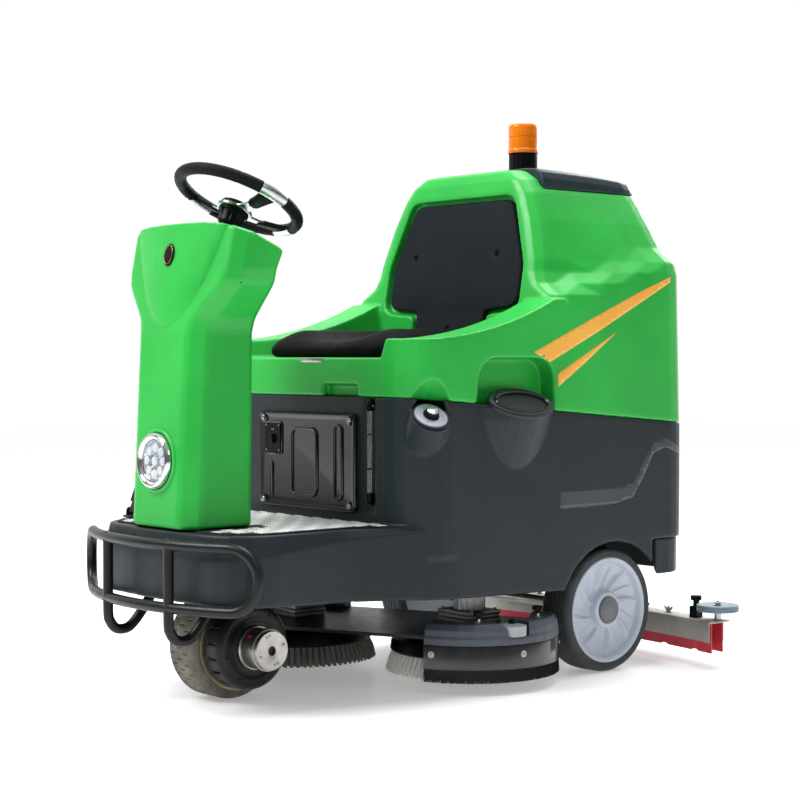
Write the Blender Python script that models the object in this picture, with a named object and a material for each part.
"""Ride-on floor scrubber-dryer: two brushes, a rear squeegee, a tilting recovery tank.

Metres, +Z up. The floor is z = 0, the machine faces -Y and its left side is +X. The origin is
on the floor below the middle of the machine.
"""
import math

import bmesh
import bpy
from mathutils import Matrix, Vector

# ---------------------------------------------------------------- driving dimensions
GAP = 0.0003                 # clearance left between pieces that touch

# lower body and floor
BODY_HALF_WIDTH = 0.385
NOSE_HALF_WIDTH = 0.300
NOSE_FRONT_Y = -0.717
WALL_FRONT_Y = -0.255        # front wall of the seat box, behind the driver's feet
BODY_REAR_Y = 0.700
FLOOR_TOP_Z = 0.4045         # top of the tread plate
PLATE_THICKNESS = 0.003
BODY_WALL = 0.010
SEAM_FRONT_Z = 0.697         # seam between lower body and recovery tank, at the front wall
SEAM_SLOPE = -0.0838         # the seam falls towards the rear
REAR_SEAM_Z = 0.326          # lower edge of the body behind the rear wheels
CREASE_LEAN = 0.010          # how far the platform's sides lean in above their crease

# wheels
REAR_WHEEL_RADIUS = 0.155
REAR_AXLE_Y = 0.4135
REAR_WHEEL_FACE_X = 0.358
REAR_TYRE_WIDTH = 0.090
ARCH_CENTRE = (0.402, 0.135)
ARCH_RADIUS = 0.195
DRIVE_WHEEL_RADIUS = 0.128
DRIVE_AXLE_Y = -0.510
DRIVE_TYRE_X = (-0.050, 0.046)

# steering
STEERING_CENTRE = Vector((0.0, -0.468, 1.155))
STEERING_TILT = math.radians(26.3)
STEERING_RING_RADIUS = 0.145
STEERING_TUBE_RADIUS = 0.0145
SPOKE_ANGLES = (-4, 86, 184)  # about the wheel's axis, from the machine's left

STEERING_AXIS = Matrix.Rotation(-STEERING_TILT, 4, "X")

# steering column
BULGE_FOOT_Z = 0.855         # the swollen panel on the front of the head starts here
BULGE_TOP_Z = 1.084
BULGE_DEPTH = 0.024
LAMP_CENTRE = Vector((0.0, -0.6953, 0.555))
LAMP_TILT = math.radians(3.12)
LAMP_AXIS = Matrix.Rotation(math.pi / 2 - LAMP_TILT, 4, "X")
PEDAL_HINGE = Vector((-0.260, -0.592, 0.4205))

# fittings in the body's left side and front wall
KNOB_AXIS = Matrix.Rotation(math.radians(38), 4, "Y") @ Matrix.Rotation(math.radians(10), 4, "X")
KNOB_CENTRE = Vector((0.376, -0.204, 0.655))
CUP_AXIS = Matrix.Rotation(math.radians(38), 4, "Y")
CUP_CENTRE = Vector((0.386, 0.062, 0.665))
CUP_HALF_WIDTH = 0.036
CUP_HALF_LENGTH = 0.083
TUBE_X = 0.221               # the sight tube of the clean-water tank
TUBE_Y = WALL_FRONT_Y - 0.0015
TUBE_Z = (0.470, 0.668)

# recovery tank and seat
TANK_FRONT_Y = 0.190         # front face at the armrests; it leans back above them
TANK_LEAN = 0.17
TANK_REAR_Y = 0.700
SEAT_TOP_Z = 0.788
SEAT_HALF_WIDTH = 0.250
TUB_RIM_Z = 0.832            # top of the armrests beside the seat
BELT_FRONT_Z = 0.920         # shoulder line along the side of the tank, front and rear
BELT_REAR_Z = 1.050
BELT_Y = (0.128, 0.688)
TANK_TOP_Z = 1.262
LID_FRONT_Y = 0.300
LID_SEAM_Z = 1.212
TANK_HINGE = Vector((0.0, 0.702, 0.6165))
LID_HINGE = Vector((0.0, 0.684, 1.2122))
BEACON_Y = 0.460

# brush deck
BRUSH_RADIUS = 0.203
BRUSH_CENTRES = {"left": (0.216, 0.064), "right": (-0.216, -0.136)}
SKIRT_RADIUS = 0.219
SKIRT_ARC = {"left": (-72, 58), "right": (100, 252)}  # degrees, seen from above
DECK_BOTTOM_Z = 0.100
DECK_TOP_Z = 0.150
ROLLER_RADIUS = 0.035
DECK_REST_LIFT = 0.016       # the deck is modelled at work, then held this much higher

# squeegee
SQUEEGEE_FACE_Y = 0.706      # front face of the bar, on the centre line
SQUEEGEE_BOW = 0.242         # the face curves forward by this times x squared
SQUEEGEE_DEPTH = 0.060
SQUEEGEE_HALF_WIDTH = 0.480
BLADE_HALF_WIDTH = 0.484
SQUEEGEE_PIVOT = Vector((0.0, 0.535, 0.205))
END_ROLLER = Vector((0.485, 0.680, 0.150))
END_ROLLER_RADIUS = 0.0535
END_ROLLER_WIDTH = 0.017

# bumper
BUMPER_TUBE_RADIUS = 0.0125
BUMPER_ARC_RADIUS = 0.600
BUMPER_FRONT_Y = -0.761
BUMPER_END_X = 0.277
BUMPER_TOP_Z = 0.378
BUMPER_BOTTOM_Z = 0.240
BUMPER_BAR_X = 0.124
# The hook under each upright, as (distance behind the upright, height).
HOOK_PATH = ((0.0, 0.205), (0.005, 0.184), (0.018, 0.168), (0.036, 0.163), (0.056, 0.167),
             (0.074, 0.182), (0.092, 0.203), (0.108, 0.224), (0.120, 0.242), (0.126, 0.252),
             (0.126, 0.2630))


# ---------------------------------------------------------------- scene and materials
for old_object in list(bpy.data.objects):
    bpy.data.objects.remove(old_object, do_unlink=True)


def make_material(name, colour, roughness, metallic=0.0):
    """A Principled BSDF in one colour, given as sRGB 0-255."""
    linear = []
    for channel in colour:
        value = channel / 255.0
        linear.append(value / 12.92 if value <= 0.04045 else ((value + 0.055) / 1.055) ** 2.4)
    material = bpy.data.materials.new(name)
    material.use_nodes = True
    shader = material.node_tree.nodes["Principled BSDF"]
    shader.inputs["Base Color"].default_value = (*linear, 1.0)
    shader.inputs["Roughness"].default_value = roughness
    shader.inputs["Metallic"].default_value = metallic
    material.diffuse_color = (*linear, 1.0)
    return material


GREEN = make_material("green moulded plastic", (58, 190, 84), 0.42)
GREY = make_material("dark grey moulded plastic", (52, 58, 64), 0.50)
LID_GREY = make_material("blue grey lid plastic", (50, 74, 84), 0.40)
BLACK = make_material("black plastic", (24, 25, 26), 0.35)
RUBBER = make_material("grey tyre rubber", (70, 73, 75), 0.80)
BLACK_RUBBER = make_material("black rubber", (30, 30, 32), 0.75)
RIM = make_material("light grey rim plastic", (190, 192, 198), 0.45)
CAP = make_material("mid grey cap plastic", (130, 133, 136), 0.45)
STEEL = make_material("zinc plated steel", (170, 168, 162), 0.35, 1.0)
ALUMINIUM = make_material("cast aluminium", (165, 166, 168), 0.45, 1.0)
PAINT = make_material("black powder coat", (28, 29, 31), 0.45)
SEAT = make_material("black seat foam skin", (32, 34, 35), 0.60)
PAD = make_material("charcoal backrest", (57, 60, 65), 0.60)
AMBER = make_material("amber lens", (223, 117, 7), 0.20)
GLASS = make_material("clear lens", (225, 230, 232), 0.10)
RED = make_material("red squeegee rubber", (200, 60, 75), 0.55)
BRISTLE = make_material("grey brush bristles", (150, 152, 152), 0.80)
SHELL = make_material("slate deck shell", (83, 90, 98), 0.45)
ROLLER = make_material("pale roller plastic", (170, 178, 184), 0.50)
BATTERY = make_material("battery case", (38, 40, 44), 0.55)


# ---------------------------------------------------------------- modelling helpers
def to_object(name, bm, material=None, origin=(0.0, 0.0, 0.0)):
    """Turn a bmesh in world coordinates into an object whose origin is at origin."""
    bmesh.ops.remove_doubles(bm, verts=bm.verts, dist=1e-6)
    bmesh.ops.recalc_face_normals(bm, faces=bm.faces)
    bmesh.ops.translate(bm, verts=bm.verts, vec=-Vector(origin))
    mesh = bpy.data.meshes.new(name)
    bm.to_mesh(mesh)
    bm.free()
    obj = bpy.data.objects.new(name, mesh)
    bpy.context.scene.collection.objects.link(obj)
    obj.location = origin
    if material is not None:
        mesh.materials.append(material)
    bpy.context.view_layer.update()
    return obj


def bake(obj):
    """Replace an object's mesh by the mesh its modifiers make."""
    bpy.context.view_layer.update()
    graph = bpy.context.evaluated_depsgraph_get()
    mesh = bpy.data.meshes.new_from_object(obj.evaluated_get(graph))
    obj.modifiers.clear()
    obj.data = mesh
    return obj


def combine(base, tools, operation):
    """Boolean each tool with base, then remove the tools."""
    for tool in tools:
        modifier = base.modifiers.new("combine", "BOOLEAN")
        modifier.operation = operation
        modifier.solver = "EXACT"
        modifier.object = tool
        bake(base)
        bpy.data.objects.remove(tool, do_unlink=True)
    weld(base)
    return base


def weld(obj):
    """Dissolve needless edges of flat faces and merge vertices that coincide."""
    bm = bmesh.new()
    bm.from_mesh(obj.data)
    bmesh.ops.remove_doubles(bm, verts=bm.verts, dist=2e-5)
    bmesh.ops.dissolve_limit(
        bm, angle_limit=math.radians(0.3), verts=bm.verts, edges=bm.edges, delimit={"MATERIAL"}
    )
    bmesh.ops.triangulate(bm, faces=bm.faces)
    bm.to_mesh(obj.data)
    bm.free()


def cut(base, *tools):
    return combine(base, tools, "DIFFERENCE")


def fuse(base, *tools):
    return combine(base, tools, "UNION")


def bevelled(obj, width, segments=2, angle=35):
    """Round every edge that turns by more than angle."""
    modifier = obj.modifiers.new("bevel", "BEVEL")
    modifier.width = width
    modifier.segments = segments
    modifier.limit_method = "ANGLE"
    modifier.angle_limit = math.radians(angle)
    return bake(obj)


def smooth(obj, angle=40):
    obj.data.shade_smooth()
    obj.data.set_sharp_from_angle(angle=math.radians(angle))
    return obj


def box(name, low, high, material=None, origin=None):
    """A box between two corners."""
    low, high = Vector(low), Vector(high)
    bm = bmesh.new()
    bmesh.ops.create_cube(bm, size=1.0)
    size = high - low
    bmesh.ops.scale(bm, vec=size, verts=bm.verts)
    bmesh.ops.translate(bm, vec=(low + high) / 2, verts=bm.verts)
    return to_object(name, bm, material, origin or (low + high) / 2)


def rounded(corners, steps=4):
    """The outline through (x, y, radius) corners, each rounded by an arc."""
    points = []
    for index, (bx, by, radius) in enumerate(corners):
        before = Vector(corners[index - 1][:2])
        corner = Vector((bx, by))
        after = Vector(corners[(index + 1) % len(corners)][:2])
        if radius == 0:
            points.append((bx, by))
            continue
        towards_before = (before - corner).normalized()
        towards_after = (after - corner).normalized()
        half = towards_before.angle(towards_after) / 2
        setback = radius / math.tan(half)
        centre = corner + (towards_before + towards_after).normalized() * radius / math.sin(half)
        start = corner + towards_before * setback - centre
        sweep = (math.pi - 2 * half) * (1 if towards_before.cross(towards_after) < 0 else -1)
        for step in range(steps + 1):
            arm = Matrix.Rotation(sweep * step / steps, 2) @ start
            points.append(tuple(centre + arm))
    return points


def loft(name, rings, material=None, origin=(0.0, 0.0, 0.0), closed=False):
    """A skin over rings of equally many points, capped at both ends unless it closes."""
    bm = bmesh.new()
    loops = [[bm.verts.new(point) for point in ring] for ring in rings]
    count = len(loops[0])
    pairs = list(zip(loops, loops[1:]))
    if closed:
        pairs.append((loops[-1], loops[0]))
    else:
        bm.faces.new(loops[0])
        bm.faces.new(loops[-1])
    for first, second in pairs:
        for i in range(count):
            j = (i + 1) % count
            bm.faces.new((first[i], first[j], second[j], second[i]))
    return to_object(name, bm, material, origin)


def prism(name, outline, low, high, material=None, origin=(0.0, 0.0, 0.0)):
    """An outline in plan, from low to high; each is a height or a function of (x, y)."""
    def ring(level):
        return [(x, y, level(x, y) if callable(level) else level) for x, y in outline]
    return loft(name, [ring(low), ring(high)], material, origin)


def turned(name, profile, segments, centre, axis="Z", material=None, closed=False):
    """A profile of (radius, distance along the axis) turned about an axis through centre."""
    turn = {
        "X": Matrix.Rotation(math.pi / 2, 4, "Y"),
        "Y": Matrix.Rotation(-math.pi / 2, 4, "X"),
        "Z": Matrix.Identity(4),
    }
    rotation = turn[axis] if isinstance(axis, str) else axis
    bm = bmesh.new()
    columns = []
    for radius, along in profile:
        if radius < 1e-7:
            columns.append([bm.verts.new((0.0, 0.0, along))])
            continue
        column = []
        for i in range(segments):
            angle = 2 * math.pi * (i + 0.5) / segments
            column.append(bm.verts.new((radius * math.cos(angle), radius * math.sin(angle), along)))
        columns.append(column)
    pairs = list(zip(columns, columns[1:]))
    if closed:
        pairs.append((columns[-1], columns[0]))
    for first, second in pairs:
        for i in range(segments):
            j = (i + 1) % segments
            corners = (
                first[i % len(first)], first[j % len(first)],
                second[j % len(second)], second[i % len(second)],
            )
            unique = list(dict.fromkeys(corners))
            if len(unique) > 2:
                bm.faces.new(unique)
    bmesh.ops.transform(bm, matrix=Matrix.Translation(centre) @ rotation, verts=bm.verts)
    return to_object(name, bm, material, centre)


def cylinder(name, radius, low, high, centre, axis="Z", segments=24, material=None):
    profile = [(0, low), (radius, low), (radius, high), (0, high)]
    return turned(name, profile, segments, centre, axis, material)


def sweep(name, path, radius, sides=10, closed=False, material=None, origin=(0.0, 0.0, 0.0)):
    """A round bar along a path of points."""
    points = [Vector(point) for point in path]
    count = len(points)
    rings = []
    normal = None
    for i, point in enumerate(points):
        ahead = points[(i + 1) % count] if closed or i + 1 < count else point
        behind = points[i - 1] if closed or i > 0 else point
        tangent = (ahead - behind).normalized()
        if normal is None:
            normal = tangent.orthogonal().normalized()
        normal = (normal - tangent * normal.dot(tangent)).normalized()
        side = tangent.cross(normal)
        ring = []
        for k in range(sides):
            angle = 2 * math.pi * k / sides
            ring.append(point + radius * (math.cos(angle) * normal + math.sin(angle) * side))
        rings.append(ring)
    return loft(name, rings, material, origin, closed)


def pivot(name, location, rotation=(0.0, 0.0, 0.0)):
    """An empty on a joint's axis, which carries the pieces that turn or slide there."""
    empty = bpy.data.objects.new(name, None)
    empty.empty_display_size = 0.05
    empty.location = location
    empty.rotation_euler = rotation
    bpy.context.scene.collection.objects.link(empty)
    bpy.context.view_layer.update()
    return empty


def carry(parent, *children):
    """Parent objects without moving them."""
    bpy.context.view_layer.update()
    for child in children:
        child.parent = parent
        child.matrix_parent_inverse = parent.matrix_world.inverted()
    bpy.context.view_layer.update()


def seam_z(x, y):
    """Height of the seam between the lower body and the recovery tank."""
    return SEAM_FRONT_Z + SEAM_SLOPE * (y - WALL_FRONT_Y)


# ---------------------------------------------------------------- lower body
def nose_outline(inset=0.0):
    """Plan of the driver's platform and the body's lower half."""
    nose = NOSE_HALF_WIDTH - inset
    side = BODY_HALF_WIDTH - inset
    front = NOSE_FRONT_Y + inset
    rear = BODY_REAR_Y - inset
    right = [
        (0.0, front, 0.9), (nose, front + 0.020, 0.125), (nose, -0.380, 0.20),
        (side, -0.150, 0.25), (side, rear, 0.085),
    ]
    left = [(-x, y, r) for x, y, r in reversed(right[1:])]
    return rounded(right + left, steps=5)


def box_outline(inset=0.0):
    """Plan of the seat box, which the recovery tank stands on."""
    side = BODY_HALF_WIDTH - inset
    front = WALL_FRONT_Y + inset
    rear = BODY_REAR_Y - inset
    radius = 0.110 - inset
    return rounded([
        (-side, front, radius), (side, front, radius), (side, rear, 0.085), (-side, rear, 0.085),
    ], steps=6)


def belly_z(x, y):
    """Height of the body's lower edge, which falls a little towards the rear wheels."""
    return 0.2232 - 0.0268 * (y - 0.17)


def crease_z(x, y):
    """Height of the crease round the platform, above which its sides lean in."""
    return min(FLOOR_TOP_Z - 0.008, 0.4035 + 0.112 * (y + 0.18))


def cup_boss():
    """The swelling on the left side that holds the cup."""
    rings = []
    for z, reach, half_length in ((0.478, 0.030, 0.070), (0.530, 0.052, 0.096),
                                  (0.600, 0.080, 0.118), (0.640, 0.094, 0.127)):
        rings.append([
            (0.335 + reach * math.cos(a), CUP_CENTRE.y + half_length * math.sin(a), z)
            for a in (2 * math.pi * k / 28 for k in range(28))
        ])
    top = [(x, y, 0.7000 - 0.85 * max(0.0, x - 0.385)) for x, y, z in
           [(0.335 + 0.098 * math.cos(a), CUP_CENTRE.y + 0.129 * math.sin(a), 0.0)
            for a in (2 * math.pi * k / 28 for k in range(28))]]
    rings.append([(x, y, min(z, seam_z(x, y) - 0.001)) for x, y, z in top])
    return loft("cup_boss", rings)


def oval_cup(name, half_width, half_length, low, high, material=None):
    """An oval plug that narrows downwards, used for the cup and for the hole it sits in."""
    rings = []
    for along in (low, high):
        scale = 1.0 + 2.4 * (along - 0.024)
        ring = []
        for k in range(24):
            angle = 2 * math.pi * k / 24
            local = Vector((
                half_width * scale * math.cos(angle), half_length * scale * math.sin(angle), along
            ))
            ring.append(CUP_CENTRE + CUP_AXIS.to_3x3() @ local)
        rings.append(ring)
    return loft(name, rings, material)


def wheel_arch(side):
    """The round space over one rear wheel."""
    return cylinder("arch", ARCH_RADIUS, -0.125, 0.125, (side * 0.370, *ARCH_CENTRE), "X", 32)


def build_lower_body():
    top_z = FLOOR_TOP_Z - PLATE_THICKNESS - GAP
    rings = [[(x, y, belly_z(x, y)) for x, y in nose_outline()],
             [(x, y, crease_z(x, y)) for x, y in nose_outline()],
             [(x, y, top_z) for x, y in nose_outline(CREASE_LEAN)]]
    body = loft("lower_body", rings, GREY)
    body = bevelled(body, 0.014, 1)
    seat_box = prism("seat_box", box_outline(), 0.330, lambda x, y: seam_z(x, y) - GAP)
    fuse(body, seat_box, cup_boss())
    below = prism("below", nose_outline(BODY_WALL), 0.10, 0.386)
    inside = prism("inside", box_outline(BODY_WALL), 0.340, 0.90)
    cut(body, below, inside)
    cut(body, cylinder("knob_seat", 0.047, -0.020, 0.20, KNOB_CENTRE, KNOB_AXIS, 28))
    fuse(body, cylinder("knob_boss", 0.049, -0.115, -0.004, KNOB_CENTRE, KNOB_AXIS, 28))
    cut(body, oval_cup("cup_hole", CUP_HALF_WIDTH + 0.0005, CUP_HALF_LENGTH + 0.0005, -0.060, 0.10))
    for side in (1, -1):
        cut(body, wheel_arch(side))
    cut(body, box("rear_notch", (-0.6, 0.545, 0.10), (0.6, 0.90, REAR_SEAM_Z)))
    cut(body, box("door_hole", (-0.185, -0.30, 0.436), (0.163, -0.20, 0.643)))
    cut(body, box("tube_groove", (0.205, -0.262, 0.425), (0.237, -0.2485, 0.712)))
    return smooth(body)


lower_body = build_lower_body()


def build_rear_cover():
    """The separate valance below the body behind the rear wheels."""
    outline = rounded([
        (-BODY_HALF_WIDTH + 0.004, 0.560, 0.0), (BODY_HALF_WIDTH - 0.004, 0.560, 0.0),
        (BODY_HALF_WIDTH - 0.004, BODY_REAR_Y - 0.010, 0.080),
        (-BODY_HALF_WIDTH + 0.004, BODY_REAR_Y - 0.010, 0.080),
    ], steps=5)
    inner = rounded([
        (-BODY_HALF_WIDTH + 0.012, 0.50, 0.0), (BODY_HALF_WIDTH - 0.012, 0.50, 0.0),
        (BODY_HALF_WIDTH - 0.012, BODY_REAR_Y - 0.018, 0.075),
        (-BODY_HALF_WIDTH + 0.012, BODY_REAR_Y - 0.018, 0.075),
    ], steps=5)
    cover = prism("rear_cover", outline, 0.235, REAR_SEAM_Z - GAP, GREY)
    cut(cover, prism("hollow", inner, 0.10, REAR_SEAM_Z - 0.010))
    for side in (1, -1):
        cut(cover, wheel_arch(side))
    return smooth(cover)


build_rear_cover()


def build_floor_plate():
    """The aluminium tread plate of the driver's platform, cut out round the column."""
    inset = 0.020
    outline = rounded([
        (-0.215, NOSE_FRONT_Y + 0.045, 0.06), (0.215, NOSE_FRONT_Y + 0.045, 0.06),
        (NOSE_HALF_WIDTH - inset, -0.60, 0.10), (NOSE_HALF_WIDTH - inset, -0.345, 0.10),
        (0.335, WALL_FRONT_Y - 0.004, 0.01), (-0.335, WALL_FRONT_Y - 0.004, 0.01),
        (-NOSE_HALF_WIDTH + inset, -0.345, 0.10), (-NOSE_HALF_WIDTH + inset, -0.60, 0.10),
    ], steps=4)
    plate = prism("floor_plate", outline, FLOOR_TOP_Z - PLATE_THICKNESS, FLOOR_TOP_Z, ALUMINIUM)
    cut(plate, cylinder("hole", 0.045, 0.3, 0.5, (0.0, DRIVE_AXLE_Y - 0.055, 0.0), "Z", 24))
    return smooth(plate)


build_floor_plate()


def build_battery_door():
    """The screwed cover over the batteries, with raised ribs round a recessed panel."""
    face = WALL_FRONT_Y - GAP
    outline = rounded([(-0.198, 0.423, 0.012), (0.176, 0.423, 0.012),
                       (0.176, 0.656, 0.012), (-0.198, 0.656, 0.012)], steps=3)
    rings = [[(x, y, z) for x, z in outline] for y in (face, face - 0.010)]
    door = loft("battery_door", rings, BLACK)
    door = bevelled(door, 0.003, 1)
    cut(door, box("panel", (-0.170, face - 0.02, 0.452), (0.148, face - 0.006, 0.627)))
    ribs = [box("rib", (x - 0.004, face - 0.0095, 0.462), (x + 0.004, face - 0.005, 0.617))
            for x in (-0.105, -0.035, 0.035, 0.105)]
    fuse(door, *ribs)
    return door


build_battery_door()

charge_socket = box("charge_socket", (-0.150, WALL_FRONT_Y - 0.0185, 0.560),
                    (-0.112, WALL_FRONT_Y - 0.0100, 0.610), BLACK)
charge_socket = bevelled(charge_socket, 0.003, 1)

level_tube = cylinder("level_tube", 0.005, *TUBE_Z, (TUBE_X, TUBE_Y, 0.0), "Z", 12, GLASS)
smooth(level_tube)


def build_elbow(name, z, up):
    """A hose elbow that carries one end of the sight tube."""
    low, high = (z, z + 0.024) if up else (z - 0.024, z)
    elbow = cylinder(name, 0.008, low, high, (TUBE_X, TUBE_Y, 0.0), "Z", 12, BLACK)
    end_z = high - 0.008 if up else low + 0.008
    fuse(elbow, cylinder("tail", 0.0065, -0.004, 0.028, (TUBE_X, TUBE_Y, end_z), "Y", 12))
    return smooth(elbow)


build_elbow("level_elbow_top", TUBE_Z[1] + GAP, True)
build_elbow("level_elbow_bottom", TUBE_Z[0] - GAP, False)
for z in (TUBE_Z[1] + 0.016, TUBE_Z[0] - 0.016):
    drill = cylinder("drill", 0.0075, -0.02, 0.06, (TUBE_X, TUBE_Y, z), "Y", 12)
    cut(lower_body, drill)
smooth(lower_body)

knob_bezel = turned("knob_bezel", [(0, -0.0037), (0.040, -0.0037), (0.040, 0.0010), (0.036, 0.003),
                                   (0, 0.003)], 24, KNOB_CENTRE, KNOB_AXIS, ROLLER)
smooth(knob_bezel)
control_knob = turned("control_knob", [(0, 0.0033), (0.019, 0.0033), (0.018, 0.016), (0.015, 0.018),
                                       (0, 0.018)], 20, KNOB_CENTRE, KNOB_AXIS, BLACK)
smooth(control_knob)


def build_cup_liner():
    """The black oval cup in the side boss."""
    liner = oval_cup("cup_liner", CUP_HALF_WIDTH, CUP_HALF_LENGTH, -0.0590, 0.0240, BLACK)
    hollow = oval_cup("hollow", CUP_HALF_WIDTH - 0.003, CUP_HALF_LENGTH - 0.003, -0.0550, 0.0300)
    return smooth(cut(liner, hollow))


build_cup_liner()


# ---------------------------------------------------------------- frame and inner parts
def build_chassis():
    frame = box("chassis_frame", (0.190, -0.600, 0.262), (0.230, 0.540, 0.302), PAINT, (0, 0, 0.28))
    pieces = [
        box("rail", (-0.230, -0.600, 0.262), (-0.190, 0.540, 0.302)),
        box("front_bar", (-0.225, -0.600, 0.264), (0.225, -0.576, 0.300)),
        box("head_bar", (-0.225, -0.430, 0.264), (0.225, -0.390, 0.300)),
        box("middle_bar", (-0.225, 0.150, 0.264), (0.225, 0.190, 0.300)),
        box("rear_bar", (-0.225, 0.500, 0.264), (0.225, 0.539, 0.300)),
        box("head_plate", (-0.195, -0.598, 0.299), (0.195, -0.392, 0.309)),
        box("bumper_foot_left", (0.105, -0.682, 0.2635), (0.143, -0.597, 0.301)),
        box("bumper_foot_right", (-0.143, -0.682, 0.2635), (-0.105, -0.597, 0.301)),
        box("axle_leg_left", (0.194, REAR_AXLE_Y - 0.030, 0.125),
            (0.202, REAR_AXLE_Y + 0.030, 0.263)),
        box("axle_leg_right", (-0.202, REAR_AXLE_Y - 0.030, 0.125),
            (-0.194, REAR_AXLE_Y + 0.030, 0.263)),
        box("pivot_leg_left", (0.062, 0.515, 0.185), (0.070, 0.538, 0.265)),
        box("pivot_leg_right", (-0.070, 0.515, 0.185), (-0.062, 0.538, 0.265)),
    ]
    fuse(frame, *pieces)
    cut(frame, cylinder("king_hole", 0.0203, 0.2, 0.4, (0.0, DRIVE_AXLE_Y, 0.0), "Z", 24))
    cut(frame, cylinder("axle_hole", 0.0128, -0.3, 0.3, (0.0, REAR_AXLE_Y, REAR_WHEEL_RADIUS),
                        "X", 20))
    return frame


build_chassis()
battery_pack = box("battery_pack", (-0.175, -0.225, 0.3030), (0.175, 0.140, 0.555), BATTERY)
battery_pack = bevelled(battery_pack, 0.006, 1)


def build_solution_tank():
    """The clean-water tank over the rear axle, open at its filler neck."""
    tank = box("solution_tank", (-0.230, 0.170, 0.3400), (0.230, 0.660, 0.580), GREY)
    neck = cylinder("neck", 0.045, 0.575, 0.598, (0.150, 0.240, 0.0), "Z", 20)
    fuse(tank, neck)
    hollow = box("hollow", (-0.224, 0.176, 0.346), (0.224, 0.654, 0.574))
    mouth = cylinder("mouth", 0.039, 0.560, 0.61, (0.150, 0.240, 0.0), "Z", 20)
    cut(tank, fuse(hollow, mouth))
    return tank


build_solution_tank()

rear_axle = cylinder("rear_axle", 0.0125, -0.330, 0.330, (0.0, REAR_AXLE_Y, REAR_WHEEL_RADIUS),
                     "X", 20, STEEL)
smooth(rear_axle)


# ---------------------------------------------------------------- steering column
def column_ring(half_face, half_width, front_y, bevel_depth, rear_y, height, inset=0.0):
    """One hexagon-like section of the column cover."""
    face = half_face - inset
    side = half_width - inset
    front = front_y + inset
    shoulder = front_y + bevel_depth + inset * 0.4
    rear = rear_y - inset
    tail = side - 0.030
    plan = [(-face, front), (face, front), (side, shoulder), (side, rear - 0.018), (tail, rear),
            (-tail, rear), (-side, rear - 0.018), (-side, shoulder)]
    return [(x, y, height(y) if callable(height) else height) for x, y in plan]


def column_top(y):
    """The column's top face, which falls towards the driver."""
    return 1.083 - 0.427 * (y + 0.623)


def column_rings(inset=0.0, foot=FLOOR_TOP_Z + GAP, roof=0.0):
    levels = (
        (0.090, 0.132, -0.703, 0.036, -0.513, foot),
        (0.094, 0.132, -0.679, 0.034, -0.508, 0.845),
        (0.104, 0.140, -0.672, 0.034, -0.506, 0.875),
        (0.182, 0.212, -0.650, 0.034, -0.505, 0.953),
        (0.190, 0.220, -0.643, 0.036, -0.504, 0.985),
    )
    rings = [column_ring(*level, inset=inset) for level in levels]
    rings.append(column_ring(0.192, 0.222, -0.623, 0.036, -0.486,
                             lambda y: column_top(y) - roof, inset=inset))
    return rings


def column_front_y(z):
    """Front face of the column's head at a height."""
    return -0.6361 + 0.204 * (z - 1.020) - 0.020 * max(0.0, 0.985 - z)


def bulge_depth(z):
    return BULGE_DEPTH * min(1.0, math.sqrt((z - BULGE_FOOT_Z) / 0.110))


def column_bulge():
    """The swollen panel on the front of the head: a parabola that widens upwards."""
    rings = []
    for z in (0.860, 0.872, 0.890, 0.915, 0.945, 0.985, 1.030, BULGE_TOP_Z):
        half = 0.178 * math.sqrt((z - BULGE_FOOT_Z) / (BULGE_TOP_Z - BULGE_FOOT_Z))
        front = column_front_y(z)
        plan = []
        for k in range(15):
            angle = math.pi * k / 14
            plan.append((half * math.cos(angle), front - bulge_depth(z) * math.sin(angle)))
        plan += [(-half, front + 0.015), (half, front + 0.015)]
        top = z == BULGE_TOP_Z
        rings.append([(x, y, column_top(y) - 0.0008 if top else z) for x, y in plan])
    return loft("bulge", rings)


def build_column():
    column = loft("column_cover", column_rings(), GREEN)
    column = bevelled(column, 0.007, 1, 14)
    fuse(column, column_bulge())
    inner = column_rings(0.005, 0.30, 0.008)
    cut(column, loft("hollow", inner))
    cut(column, cylinder("shaft_hole", 0.024, -0.30, 0.02, STEERING_CENTRE, STEERING_AXIS, 20))
    cut(column, cylinder("lamp_hole", 0.0575, -0.05, 0.03, LAMP_CENTRE, LAMP_AXIS, 24))
    return smooth(column, 20)


build_column()

lamp_bezel = turned("lamp_bezel", [(0.0480, -0.004), (0.0555, -0.004), (0.0555, 0.0006),
                                   (0.0640, 0.0006), (0.0640, 0.008), (0.0600, 0.017),
                                   (0.0480, 0.014)], 28, LAMP_CENTRE, LAMP_AXIS, STEEL, closed=True)
smooth(lamp_bezel)
lamp_lens = turned("lamp_lens", [(0, -0.003), (0.0476, -0.003), (0.0476, 0.011), (0.025, 0.015),
                                 (0, 0.0165)], 24, LAMP_CENTRE, LAMP_AXIS, GLASS)
smooth(lamp_lens)


def build_emblem_plate():
    """A blank oval badge plate on the front of the column's head."""
    tilt = math.atan((0.643 - 0.623) / (1.083 - 0.985))
    frame = Matrix.Rotation(math.pi / 2 - tilt, 4, "X")
    centre = Vector((0.0, column_front_y(1.020) - BULGE_DEPTH, 1.020))
    half_width, half_height = 0.019, 0.026
    rings = []
    for along, scale in ((0.0008, 1.0), (0.0030, 1.0), (0.0045, 0.90)):
        rings.append([
            centre + frame.to_3x3() @ Vector((half_width * scale * math.cos(a),
                                              half_height * scale * math.sin(a), along))
            for a in (2 * math.pi * k / 28 for k in range(28))
        ])
    return smooth(loft("emblem_plate", rings, BLACK))


build_emblem_plate()


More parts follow.
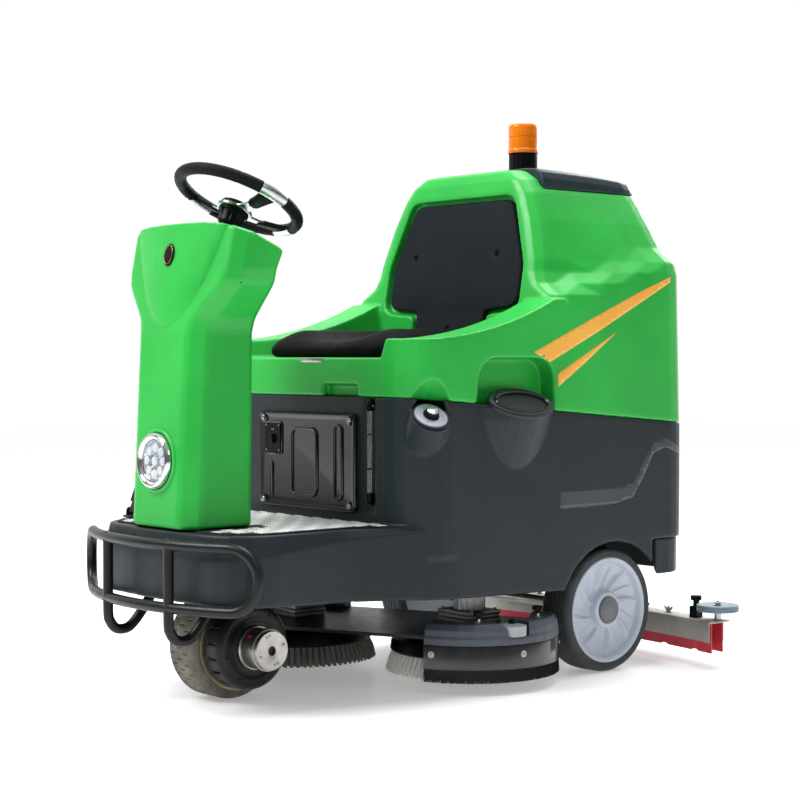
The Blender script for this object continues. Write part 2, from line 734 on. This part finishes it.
# ---------------------------------------------------------------- steering wheel
def build_steering_wheel():
    ring_profile = [
        (STEERING_RING_RADIUS + STEERING_TUBE_RADIUS * math.cos(a), STEERING_TUBE_RADIUS * math.sin(a))
        for a in (2 * math.pi * k / 8 for k in range(8))
    ]
    rim = turned("steering_rim", ring_profile, 36, STEERING_CENTRE, STEERING_AXIS, BLACK, closed=True)
    hub = turned("steering_hub", [(0, -0.200), (0.0135, -0.200), (0.0135, -0.072), (0.030, -0.066),
                                  (0.032, -0.040), (0.036, -0.037), (0.036, -0.0172), (0.030, -0.0110),
                                  (0, -0.0100)], 16, STEERING_CENTRE, STEERING_AXIS, BLACK)
    spokes = None
    for angle in SPOKE_ANGLES:
        inner, outer = 0.0365, STEERING_RING_RADIUS - STEERING_TUBE_RADIUS + 0.0040
        rings = []
        for radius, half, z in ((inner - 0.004, 0.019, -0.0270), (0.080, 0.014, -0.0185),
                                (outer, 0.017, -0.0030)):
            ring = []
            for across, rise in ((-half, -0.003), (half, -0.003), (half, 0.003), (-half, 0.003)):
                turned_to = Matrix.Rotation(math.radians(angle), 3, "Z")
                local = turned_to @ Vector((radius, across, z + rise))
                ring.append(STEERING_CENTRE + STEERING_AXIS.to_3x3() @ local)
            rings.append(ring)
        arm = loft("steering_spokes", rings, ALUMINIUM)
        spokes = arm if spokes is None else fuse(spokes, arm)
    collar_profile = [(0.0365, -0.0310), (0.0440, -0.0310), (0.0440, -0.0230), (0.0365, -0.0230)]
    collar = turned("collar", collar_profile, 16, STEERING_CENTRE, STEERING_AXIS, closed=True)
    fuse(spokes, collar)
    bore_profile = [(0.0, -0.1), (0.0363, -0.1), (0.0363, 0.1), (0.0, 0.1)]
    cut(spokes, turned("bore", bore_profile, 16, STEERING_CENTRE, STEERING_AXIS))
    seat_profile = [
        (STEERING_RING_RADIUS + (STEERING_TUBE_RADIUS + GAP) * math.cos(a),
         (STEERING_TUBE_RADIUS + GAP) * math.sin(a))
        for a in (2 * math.pi * k / 8 for k in range(8))
    ]
    cut(spokes, turned("seat", seat_profile, 36, STEERING_CENTRE, STEERING_AXIS, closed=True))
    steering = pivot("steering_turn", STEERING_CENTRE, (-STEERING_TILT, 0.0, 0.0))
    carry(steering, smooth(rim), smooth(hub), spokes)


build_steering_wheel()


# ---------------------------------------------------------------- bumper
def build_bumper():
    """The front guard: one bent loop and two uprights that hook back under the nose."""
    arc_y = BUMPER_FRONT_Y + BUMPER_ARC_RADIUS
    reach = math.asin(BUMPER_END_X / BUMPER_ARC_RADIUS)
    half_height = (BUMPER_TOP_Z - BUMPER_BOTTOM_Z) / 2
    middle_z = (BUMPER_TOP_Z + BUMPER_BOTTOM_Z) / 2

    def on_arc(angle, z):
        return (BUMPER_ARC_RADIUS * math.sin(angle), arc_y - BUMPER_ARC_RADIUS * math.cos(angle), z)

    path = [on_arc(-reach + 2 * reach * k / 8, BUMPER_TOP_Z) for k in range(9)]
    for k in range(1, 5):
        angle = math.pi * k / 5
        x, y, z = on_arc(reach, middle_z)
        out = half_height * math.sin(angle)
        path.append((x + out * math.cos(reach), y + out * math.sin(reach),
                     z + half_height * math.cos(angle)))
    path += [on_arc(reach - 2 * reach * k / 8, BUMPER_BOTTOM_Z) for k in range(9)]
    for k in range(1, 5):
        angle = math.pi * k / 5
        x, y, z = on_arc(-reach, middle_z)
        out = half_height * math.sin(angle)
        path.append((x - out * math.cos(reach), y + out * math.sin(reach),
                     z - half_height * math.cos(angle)))
    bumper = sweep("bumper", path, BUMPER_TUBE_RADIUS, 8, True, PAINT)

    hook_top = on_arc(math.asin(BUMPER_BAR_X / BUMPER_ARC_RADIUS), BUMPER_TOP_Z)
    front_leg_y = hook_top[1]
    for side in (1, -1):
        x = side * BUMPER_BAR_X
        hook = [(x, front_leg_y, BUMPER_TOP_Z)]
        hook += [(x, front_leg_y + back, z) for back, z in HOOK_PATH]
        fuse(bumper, sweep("hook", hook, BUMPER_TUBE_RADIUS - 0.0005, 8))
    return smooth(bumper)


bumper = build_bumper()


# ---------------------------------------------------------------- pedal
def build_pedal():
    x, y, z = PEDAL_HINGE
    base = box("pedal_base", (x - 0.022, y - 0.018, FLOOR_TOP_Z + GAP), (x + 0.026, y + 0.045, 0.4105), PAINT)
    lugs = [box("lug", (x + out, y - 0.010, 0.4095), (x + out + 0.004, y + 0.010, 0.4290))
            for out in (-0.0205, 0.0165)]
    fuse(base, *lugs)
    tilt = math.radians(-22)
    rings = []
    for along, half in ((-0.0060, 0.0145), (0.014, 0.0145), (0.024, 0.024), (0.110, 0.024), (0.118, 0.020)):
        ring = []
        for across, deep in ((-half, -0.006), (half, -0.006), (half, 0.006), (-half, 0.006)):
            local = Matrix.Rotation(tilt, 3, "X") @ Vector((across, deep, along))
            ring.append(PEDAL_HINGE + local)
        rings.append(ring)
    pedal = loft("accelerator_pedal", rings, BLACK, PEDAL_HINGE)
    carry(pivot("pedal_press", PEDAL_HINGE), pedal)


build_pedal()


# ---------------------------------------------------------------- rear wheels
def build_rear_wheel(side):
    sign = 1 if side == "left" else -1
    outer = REAR_WHEEL_FACE_X
    inner = outer - REAR_TYRE_WIDTH
    centre = Vector((sign * outer, REAR_AXLE_Y, REAR_WHEEL_RADIUS))
    frame = Matrix.Rotation(math.pi / 2 * sign, 4, "Y")
    width = outer - inner
    radius = REAR_WHEEL_RADIUS
    tyre_profile = [(0.1326, -width + 0.004), (radius - 0.009, -width),
                    (radius, -width + 0.012), (radius, -0.012), (radius - 0.007, -0.001),
                    (0.1326, -0.002)]
    tyre = turned(f"rear_tyre_{side}", tyre_profile, 40, centre, frame, RUBBER, closed=True)
    rim_profile = [(0.0129, -width + 0.010), (0.040, -width + 0.010), (0.050, -width + 0.030),
                   (0.118, -width + 0.030), (0.1260, -width + 0.008), (0.1317, -width + 0.008),
                   (0.1317, -0.002), (0.1210, -0.002), (0.1160, -0.020),
                   (0.052, -0.026), (0.044, -0.006), (0.0340, -0.004), (0.0340, -0.030),
                   (0.0129, -0.030)]
    rim = turned(f"rear_rim_{side}", rim_profile, 24, centre, frame, RIM, closed=True)
    cap_profile = [(0, -0.0270), (0.0335, -0.0270), (0.0335, -0.001), (0.030, 0.004), (0, 0.006)]
    cap = turned(f"rear_hub_cap_{side}", cap_profile, 20, centre, frame, CAP)
    spin = pivot(f"rear_wheel_spin_{side}", centre)
    carry(spin, smooth(tyre), smooth(rim), smooth(cap))


for wheel_side in ("left", "right"):
    build_rear_wheel(wheel_side)


# ---------------------------------------------------------------- front drive wheel
DRIVE_CENTRE = Vector((0.0, DRIVE_AXLE_Y, DRIVE_WHEEL_RADIUS))


def fork_plate(low, high):
    """The round-ended plate of the fork that carries the hub motor."""
    radius = 0.106
    outline = [(-0.062, 0.2600)]
    for k in range(17):
        angle = math.radians(159.5 + 221.0 * k / 16)
        outline.append((radius * math.cos(angle), DRIVE_WHEEL_RADIUS + radius * math.sin(angle)))
    outline.append((0.062, 0.2600))
    return loft("fork_plate", [[(x, DRIVE_AXLE_Y + y, z) for y, z in outline] for x in (low, high)])


def build_drive_unit():
    """The steered fork with its hub motor, brake and tyre."""
    low, high = DRIVE_TYRE_X
    radius = DRIVE_WHEEL_RADIUS
    tyre_profile = [(0.0876, low + 0.002), (radius - 0.010, low), (radius, low + 0.016),
                    (radius, high - 0.016), (radius - 0.010, high), (0.0876, high - 0.002)]
    tyre = turned("drive_tyre", tyre_profile, 36, DRIVE_CENTRE, "X", RUBBER, closed=True)
    rim_profile = [(0.0153, low + 0.014), (0.0867, low + 0.004), (0.0867, high - 0.004),
                   (0.0153, high - 0.014)]
    rim = turned("drive_rim", rim_profile, 24, DRIVE_CENTRE, "X", ALUMINIUM, closed=True)

    fork = cylinder("drive_fork", 0.0200, 0.270, 0.345, (0.0, DRIVE_AXLE_Y, 0.0), "Z", 24, STEEL)
    pieces = [
        cylinder("crown", 0.060, 0.2585, 0.2980, (0.0, DRIVE_AXLE_Y, 0.0), "Z", 28),
        box("bridge", (-0.066, DRIVE_AXLE_Y - 0.050, 0.2575), (0.066, DRIVE_AXLE_Y + 0.050, 0.2630)),
        fork_plate(0.0490, 0.0570),
        box("arm_right", (-0.0660, DRIVE_AXLE_Y - 0.030, 0.095), (-0.0580, DRIVE_AXLE_Y + 0.030, 0.2600)),
        cylinder("axle", 0.0150, -0.070, 0.0560, DRIVE_CENTRE, "X", 20),
        cylinder("nut", 0.0240, -0.0780, -0.0640, DRIVE_CENTRE, "X", 6),
    ]
    fuse(fork, *pieces)

    housing_profile = [(0, 0.0573), (0.0980, 0.0573), (0.1000, 0.066), (0.0980, 0.108),
                       (0.0900, 0.118), (0, 0.118)]
    motor = turned("drive_motor", housing_profile, 28, DRIVE_CENTRE, "X", PAINT)
    slots = []
    for k in range(8):
        angle = 2 * math.pi * (k + 0.5) / 8
        slot = box("slot", (0.075, -0.006, -0.020), (0.13, 0.006, 0.020))
        slot.matrix_world = (
            Matrix.Translation(DRIVE_CENTRE) @ Matrix.Rotation(angle, 4, "X")
            @ Matrix.Translation((0.012, 0.0, 0.098))
        )
        slots.append(slot)
    cut(motor, *slots)
    can_profile = [(0, 0.1183), (0.0500, 0.1183), (0.0500, 0.170), (0.0445, 0.174), (0.0445, 0.1840),
                   (0.0120, 0.1840), (0.0120, 0.174), (0, 0.174)]
    can = turned("brake_can", can_profile, 24, DRIVE_CENTRE, "X", STEEL)
    steer = pivot("fork_steer", (0.0, DRIVE_AXLE_Y, 0.345))
    spin = pivot("drive_wheel_spin", DRIVE_CENTRE)
    carry(spin, smooth(tyre), smooth(rim))
    carry(steer, spin, fork, smooth(motor, 30), smooth(can))


build_drive_unit()


# ---------------------------------------------------------------- brush deck
def arc(centre, radius, start, end, steps):
    """Plan points along a circle, angles in degrees."""
    points = []
    for k in range(steps + 1):
        angle = math.radians(start + (end - start) * k / steps)
        points.append((centre[0] + radius * math.cos(angle), centre[1] + radius * math.sin(angle)))
    return points


def skirt_strip(name, side, radius_out, radius_in, low, high, material):
    """A band that stands round the outside of one brush."""
    centre = BRUSH_CENTRES[side]
    start, end = SKIRT_ARC[side]
    outer = arc(centre, radius_out, start, end, 12)
    inner = arc(centre, radius_in, start, end, 12)
    return prism(name, outer + inner[::-1], low, high, material, (*centre, low))


def build_deck():
    lift = pivot("deck_lift", (0.0, -0.036, DECK_TOP_Z))
    left, right = BRUSH_CENTRES["left"], BRUSH_CENTRES["right"]
    plate_radius = 0.196
    gap_angle = math.degrees(math.atan2(left[1] - right[1], left[0] - right[0]))
    outline = (arc(left, plate_radius, gap_angle - 90, gap_angle + 90, 16)
               + arc(right, plate_radius, gap_angle + 90, gap_angle + 270, 16))
    plate = prism("deck_plate", outline, 0.1095, 0.1175, PAINT, (0.0, -0.036, 0.11))
    for side, centre in BRUSH_CENTRES.items():
        start, end = SKIRT_ARC[side]
        beyond = arc(centre, 0.1965, start - 3, end + 3, 16) + arc(centre, 0.300, end + 3, start - 3, 6)
        cut(plate, prism("beyond", beyond, 0.09, 0.13))
    carry(lift, plate)
    for side, centre in BRUSH_CENTRES.items():
        sign = 1 if side == "left" else -1
        start, end = SKIRT_ARC[side]
        # Slate shell: a raised crescent on the outer part of the deck, with a rim round the plate.
        rings = []
        for radius_out, radius_in, z in ((SKIRT_RADIUS, 0.199, DECK_BOTTOM_Z),
                                         (SKIRT_RADIUS, 0.199, 0.1176),
                                         (0.2170, 0.152, 0.1180), (0.2160, 0.150, 0.136),
                                         (0.2060, 0.158, DECK_TOP_Z)):
            outer = arc(centre, radius_out, start, end, 12)
            inner = arc(centre, radius_in, start, end, 12)
            rings.append([(x, y, z) for x, y in outer + inner[::-1]])
        shell = loft(f"deck_shell_{side}", rings, SHELL, (*centre, DECK_TOP_Z))
        roller_x = centre[0] + sign * 0.186 * math.cos(math.radians(10))
        roller_y = centre[1] - 0.186 * math.sin(math.radians(10))
        pocket = cylinder("pocket", ROLLER_RADIUS + 0.005, 0.1178, 0.20, (roller_x, roller_y, 0.0), "Z", 20)
        cut(shell, pocket)
        skirt = skirt_strip(f"brush_skirt_{side}", side, SKIRT_RADIUS, SKIRT_RADIUS - 0.006,
                            0.034, DECK_BOTTOM_Z - GAP, BLACK_RUBBER)
        strip = skirt_strip("strip", side, SKIRT_RADIUS + 0.002, SKIRT_RADIUS - 0.008,
                            0.012, 0.040, BLACK_RUBBER)
        fuse(skirt, strip)
        roller = turned(f"deck_roller_{side}",
                        [(0, 0.1182), (ROLLER_RADIUS, 0.1182), (ROLLER_RADIUS, 0.142), (0.031, 0.146),
                         (0.010, 0.147), (0.009, 0.157), (0, 0.157)],
                        20, (roller_x, roller_y, 0.0), "Z", ROLLER)
        motor = cylinder(f"brush_motor_{side}", 0.040, 0.1178, 0.212, (*centre, 0.0), "Z", 24, ALUMINIUM)
        gearbox = box("gearbox", (centre[0] - 0.060, centre[1] - 0.050, 0.1178),
                      (centre[0] + 0.060, centre[1] + 0.050, 0.160))
        fuse(motor, gearbox)
        brush_profile = [(0.022, 0.1040), (0.022, 0.0850), (0.060, 0.0800), (0.130, 0.0620),
                         (0.150, 0.0135), (BRUSH_RADIUS, 0.0135), (BRUSH_RADIUS - 0.016, 0.0920),
                         (0.045, 0.1040)]
        brush = turned(f"brush_{side}", brush_profile, 32, (*centre, 0.0), "Z", BRISTLE, closed=True)
        carry(lift, shell, skirt, motor)
        roller_spin = pivot(f"deck_roller_spin_{side}", roller.location)
        brush_spin = pivot(f"brush_spin_{side}", brush.location)
        carry(roller_spin, smooth(roller))
        carry(brush_spin, smooth(brush))
        carry(lift, roller_spin, brush_spin)
        smooth(shell)
        smooth(skirt)
        smooth(motor)
    lift.location.z += DECK_REST_LIFT


build_deck()


# ---------------------------------------------------------------- squeegee
def bowed_bar(name, forward, back, low, high, half_width, material, steps=12):
    """A bar that follows the squeegee's curve, between two offsets behind its front face."""
    def row(offset):
        points = []
        for k in range(steps + 1):
            x = -half_width + 2 * half_width * k / steps
            points.append((x, SQUEEGEE_FACE_Y - SQUEEGEE_BOW * x * x + offset))
        return points
    return prism(name, row(forward) + row(back)[::-1], low, high, material)


def build_squeegee():
    lift = pivot("squeegee_lift", SQUEEGEE_PIVOT)
    bar = bowed_bar("squeegee_bar", 0.0, SQUEEGEE_DEPTH, 0.0620, 0.1150, SQUEEGEE_HALF_WIDTH, ALUMINIUM)
    cut(bar, bowed_bar("channel", 0.006, SQUEEGEE_DEPTH - 0.006, 0.0500, 0.1090, BLADE_HALF_WIDTH, None))
    port = cylinder("port", 0.030, 0.1140, 0.150, (0.0, SQUEEGEE_FACE_Y + 0.030, 0.0), "Z", 24)
    ears = []
    for side in (1, -1):
        ears.append(box("ear", (side * END_ROLLER.x - 0.034, END_ROLLER.y - 0.022, 0.1140),
                        (side * END_ROLLER.x + 0.020, END_ROLLER.y + 0.022, 0.1200)))
        ears.append(cylinder("spindle", 0.0090, 0.1190, 0.1690, (side * END_ROLLER.x, END_ROLLER.y, 0.0),
                             "Z", 16))
    fuse(bar, port, *ears)
    cut(bar, cylinder("bore", 0.024, 0.10, 0.20, (0.0, SQUEEGEE_FACE_Y + 0.030, 0.0), "Z", 24))

    blades = []
    for name, forward in (("squeegee_blade_front", 0.006 + GAP),
                          ("squeegee_blade_rear", SQUEEGEE_DEPTH - 0.006 - GAP - 0.004)):
        blades.append(bowed_bar(name, forward, forward + 0.004, 0.034, 0.1087, BLADE_HALF_WIDTH, RED))

    top = 0.1153
    arm = box("squeegee_arm", (-0.0580, 0.520, 0.1950), (0.0580, 0.550, 0.2150), PAINT, SQUEEGEE_PIVOT)
    braces = []
    for side in (1, -1):
        rings = []
        for y, x, low, high in ((0.530, 0.045, 0.197, 0.213), (0.620, 0.085, 0.150, 0.166),
                                (0.712, 0.125, top, top + 0.012), (0.748, 0.125, top, top + 0.012)):
            rings.append([(side * x - 0.012, y, low), (side * x + 0.012, y, low),
                          (side * x + 0.012, y, high), (side * x - 0.012, y, high)])
        braces.append(loft("brace", rings))
    braces.append(box("tie", (-0.135, 0.715, top), (-0.034, 0.735, top + 0.008)))
    braces.append(box("tie", (0.034, 0.715, top), (0.135, 0.735, top + 0.008)))
    pin = cylinder("pin", 0.0060, -0.0617, 0.0617, SQUEEGEE_PIVOT, "X", 16)
    fuse(arm, *braces, pin)
    carry(lift, smooth(bar), *blades, smooth(arm))
    for side, sign in (("left", 1), ("right", -1)):
        centre = Vector((sign * END_ROLLER.x, END_ROLLER.y, END_ROLLER.z))
        half = END_ROLLER_WIDTH / 2
        profile = [(0.0094, -half), (END_ROLLER_RADIUS, -half), (END_ROLLER_RADIUS, half),
                   (0.0094, half)]
        roller = turned(f"squeegee_roller_{side}", profile, 28, centre, "Z", ROLLER, closed=True)
        spin = pivot(f"squeegee_roller_spin_{side}", centre)
        carry(spin, smooth(roller))
        carry(lift, spin)


build_squeegee()


# ---------------------------------------------------------------- recovery tank
def interpolate(table, value):
    """The value read between (key, value) pairs, held level past both ends."""
    if value <= table[0][0]:
        return table[0][1]
    for (key, low), (next_key, high) in zip(table, table[1:]):
        if value <= next_key:
            return low + (high - low) * (value - key) / (next_key - key)
    return table[-1][1]


# Half-width of the tank above its shoulder line, by height, at its front and at its rear.
FRONT_WIDTHS = ((0.91, 0.316), (1.03, 0.300), (1.13, 0.272), (1.20, 0.243), (1.235, 0.216),
                (TANK_TOP_Z, 0.170))
REAR_WIDTHS = ((0.97, 0.372), (1.03, 0.352), (1.12, 0.300), (1.20, 0.246), (TANK_TOP_Z, 0.20))


def belt_z(y):
    """Height of the shoulder line along the tank's side."""
    share = (y - BELT_Y[0]) / (BELT_Y[1] - BELT_Y[0])
    return BELT_FRONT_Z + (BELT_REAR_Z - BELT_FRONT_Z) * min(1.0, max(0.0, share))


def tank_front_y(z):
    return TANK_FRONT_Y + TANK_LEAN * max(0.0, z - 0.91)


def tank_rear_y(z):
    return TANK_REAR_Y - 0.020 * max(0.0, z - 0.617) / 0.6


def tank_half_width(y, z):
    """Half-width of the tank: full below the shoulder line, drawn in above it."""
    above = z - belt_z(y)
    if above <= -0.02:
        return BODY_HALF_WIDTH
    along = min(1.0, max(0.0, (y - TANK_FRONT_Y) / 0.40))
    upper = interpolate(FRONT_WIDTHS, z) * (1 - along) + interpolate(REAR_WIDTHS, z) * along
    blend = min(1.0, (above + 0.02) / 0.060)
    blend = blend * blend * (3 - 2 * blend)
    return BODY_HALF_WIDTH + (min(upper, BODY_HALF_WIDTH) - BODY_HALF_WIDTH) * blend


def tank_ring(z, inset=0.0, front=None, level=None):
    """Plan section of the tank at one height, with rounded corners."""
    front_y = (tank_front_y(z) if front is None else front) + inset
    rear_y = tank_rear_y(z) - inset
    corner = 0.040
    rear_corner = 0.085
    front_width = tank_half_width(front_y + corner, z) - inset
    rear_width = tank_half_width(rear_y - rear_corner, z) - inset
    half = []
    for k in range(4):
        angle = math.pi / 2 * k / 3
        half.append((front_width - corner * (1 - math.sin(angle)),
                     front_y + corner * (1 - math.cos(angle))))
    run = rear_y - rear_corner - front_y - corner
    for k in range(1, 6):
        y = front_y + corner + run * k / 6
        half.append((tank_half_width(y, z) - inset, y))
    for k in range(5):
        angle = math.pi / 2 * k / 4
        half.append((rear_width - rear_corner * (1 - math.cos(angle)),
                     rear_y - rear_corner * (1 - math.sin(angle))))
    plan = half + [(-x, y) for x, y in reversed(half)]
    return [(x, y, level(x, y) if level else z) for x, y in plan]


def arm_top_z(y):
    """Top of the armrests: level by the seat, rising in a curve to the tank's shoulder."""
    share = min(1.0, max(0.0, (y + 0.21) / 0.400))
    return TUB_RIM_Z + (BELT_FRONT_Z + 0.010 - TUB_RIM_Z) * (0.25 * share + 0.75 * share ** 2.2)


def pad_outline(grow=0.0):
    """Front view of the backrest, as (x, z): a broad pad with a tongue down to the seat."""
    right = [
        (0.128 + grow, 0.822, 0.0), (0.128 + grow, 0.905 - grow, 0.015),
        (0.2435 + grow, 0.915 - grow, 0.030), (0.2435 + grow, 1.020, 0.10),
        (0.182 + grow, 1.186 + grow, 0.035),
    ]
    left = [(-x, z, r) for x, z, r in reversed(right)]
    return rounded(right + left, steps=3)


def pad_depth(z, offset):
    """Y on a plane that leans with the tank's front, offset behind it."""
    return TANK_FRONT_Y + TANK_LEAN * (z - 0.91) + offset


def build_recovery_tank():
    foot = [(x, y, seam_z(x, y)) for x, y, z in tank_ring(0.66)]
    heights = (0.88, 0.91, 0.94, 0.97, 1.00, 1.03, 1.07, 1.13, 1.20, 1.235)
    rings = [foot] + [tank_ring(z) for z in heights]
    rings.append(tank_ring(TANK_TOP_Z - 0.006, 0.004))
    rings.append(tank_ring(TANK_TOP_Z, 0.014))
    tank = loft("recovery_tank", rings, GREEN)
    cut(tank, box("lid_step", (-0.5, LID_FRONT_Y, LID_SEAM_Z), (0.5, 0.9, 1.4)))

    # The seat tub in front of the tank: a block with armrests, hollowed for the cushion.
    side = BODY_HALF_WIDTH
    outline = rounded([(-side, WALL_FRONT_Y, 0.110), (side, WALL_FRONT_Y, 0.110),
                       (side, 0.232, 0.0), (-side, 0.232, 0.0)], steps=6)
    tub = prism("tub", outline, seam_z, 0.945)
    rows = [-0.40] + [-0.21 + 0.050 * k for k in range(10)] + [0.30]
    trim = [(y, arm_top_z(y)) for y in rows] + [(0.30, 1.1), (-0.40, 1.1)]
    cut(tub, loft("above", [[(x, y, z) for y, z in trim] for x in (-0.5, 0.5)]))
    recess = []
    for half, z in ((SEAT_HALF_WIDTH + 0.006, SEAT_TOP_Z), (SEAT_HALF_WIDTH + 0.026, 0.835),
                    (SEAT_HALF_WIDTH + 0.026, 1.2)):
        recess.append([(-half, -0.40, z), (half, -0.40, z), (half, TANK_FRONT_Y + 0.02, z),
                       (-half, TANK_FRONT_Y + 0.02, z)])
    cut(tub, loft("recess", recess))
    tub = bevelled(tub, 0.008, 1, 40)
    fuse(tank, tub)
    pocket = [[(x, pad_depth(z, offset), z) for x, z in pad_outline(0.010)] for offset in (-0.2, 0.022)]
    cut(tank, loft("pad_pocket", pocket))

    # Hollows: the water space under the lid, and the space below the seat.
    inner = [tank_ring(z, 0.012, front=tank_front_y(z) + 0.020)
             for z in (0.84, 0.88, 0.91, 0.94, 0.97, 1.00, 1.03, 1.07, 1.13, 1.185)]
    cut(tank, loft("water_space", inner))
    cut(tank, box("mouth", (-0.150, LID_FRONT_Y + 0.045, 1.15), (0.150, 0.640, 1.30)))
    cut(tank, prism("under_seat", box_outline(0.080), 0.50, SEAT_TOP_Z - 0.012))

    # Scallops in the left side over the cup and the knob, and the grip under the seat's front.
    niche_profile = rounded([(-0.073, 0.60, 0.0), (0.194, 0.60, 0.0), (0.183, 0.787, 0.050),
                             (-0.057, 0.787, 0.060)], steps=5)
    cut(tank, loft("niche", [[(x, y, z) for y, z in niche_profile] for x in (0.3360, 0.47)]))
    cut(tank, cylinder("scallop", 0.060, -0.010, 0.20, KNOB_CENTRE, KNOB_AXIS, 28))
    cut(tank, box("grip", (0.045, -0.40, 0.60), (0.175, WALL_FRONT_Y + 0.020, 0.7250)))
    return smooth(tank, 28)


recovery_tank = build_recovery_tank()


def build_lid():
    """The dark cap over the tank's mouth, rounded down at its rear."""
    base = [(x, max(y, LID_FRONT_Y + GAP)) for x, y, z in tank_ring(LID_SEAM_Z)]

    def top(y):
        share = (y - LID_FRONT_Y) / 0.395
        return 1.2680 - 0.010 * share - 0.014 * share ** 4

    def ring(inset, height):
        points = []
        for x, y in base:
            pull = inset * max(0.0, (y - 0.55) / 0.165)
            scale = 1 - inset / 0.24
            points.append((x * scale, y - pull, height(y - pull)))
        return points

    rings = [ring(0.0, lambda y: LID_SEAM_Z + GAP), ring(0.001, lambda y: top(y) - 0.030),
             ring(0.010, lambda y: top(y) - 0.012), ring(0.030, lambda y: top(y) - 0.003),
             ring(0.070, top)]
    return smooth(loft("tank_lid", rings, LID_GREY, LID_HINGE), 30)


tank_lid = build_lid()


def build_backrest():
    face, back = 0.006, 0.0217
    outline = pad_outline()
    rings = [[(x, pad_depth(z, back), z) for x, z in outline],
             [(x, pad_depth(z, face + 0.006), z) for x, z in outline],
             [(x * 0.975, pad_depth(z, face), 1.005 + (z - 1.005) * 0.975) for x, z in outline]]
    pad = loft("backrest_pad", rings, PAD)
    for x, z in ((0.153, 1.049), (-0.153, 1.049), (0.0, 0.858)):
        y = pad_depth(z, 0.0)
        cut(pad, cylinder("screw_hole", 0.0085, -0.030, 0.013, (x, y, z), "Y", 16))
    return smooth(pad, 30)


backrest_pad = build_backrest()


def build_cushion():
    """The seat cushion, dished across and rolled down at its front edge."""
    half, front, rear = SEAT_HALF_WIDTH, -0.237, TANK_FRONT_Y - 0.012
    foot = SEAT_TOP_Z + GAP
    outline = rounded([(-half, front, 0.060), (half, front, 0.060), (half, rear, 0.040),
                       (-half, rear, 0.040)], steps=4)
    rings = []
    for inset, height in ((0.006, foot), (0.0, foot + 0.010), (0.0, foot + 0.028),
                          (0.012, foot + 0.039), (0.050, foot + 0.042)):
        middle_y = (front + rear) / 2
        rings.append([(x * (1 - inset / half), middle_y + (y - middle_y) * (1 - inset / 0.207), height)
                      for x, y in outline])
    return smooth(loft("seat_cushion", rings, SEAT), 40)


seat_cushion = build_cushion()

beacon_base = turned("beacon_base", [(0, 1.2668), (0.0480, 1.2668), (0.0480, 1.2720), (0.0390, 1.2760),
                                     (0.0375, 1.3290), (0, 1.3290)], 20, (0.0, BEACON_Y, 0.0), "Z", BLACK)
beacon_lens = turned("beacon_lens", [(0, 1.3293), (0.0405, 1.3293), (0.0405, 1.3400), (0.0385, 1.3420),
                                     (0.0385, 1.3980), (0.0350, 1.4060), (0, 1.4080)], 20,
                     (0.0, BEACON_Y, 0.0), "Z", AMBER)
smooth(beacon_base)
smooth(beacon_lens)
vacuum_motor = turned("vacuum_motor", [(0, 0.6400), (0.0500, 0.6400), (0.0500, 0.6800), (0.0720, 0.6850),
                                       (0.0720, 0.7300), (0.0600, 0.7360), (0.0600, 0.7757), (0, 0.7757)],
                      20, (0.0, 0.060, 0.0), "Z", ALUMINIUM)
smooth(vacuum_motor)

tank_tilt = pivot("tank_tilt", TANK_HINGE)
lid_open = pivot("lid_open", LID_HINGE)
carry(lid_open, tank_lid, beacon_base, beacon_lens)
carry(tank_tilt, recovery_tank, backrest_pad, seat_cushion, vacuum_motor, lid_open)
carry(pivot("control_knob_turn", KNOB_CENTRE), control_knob)
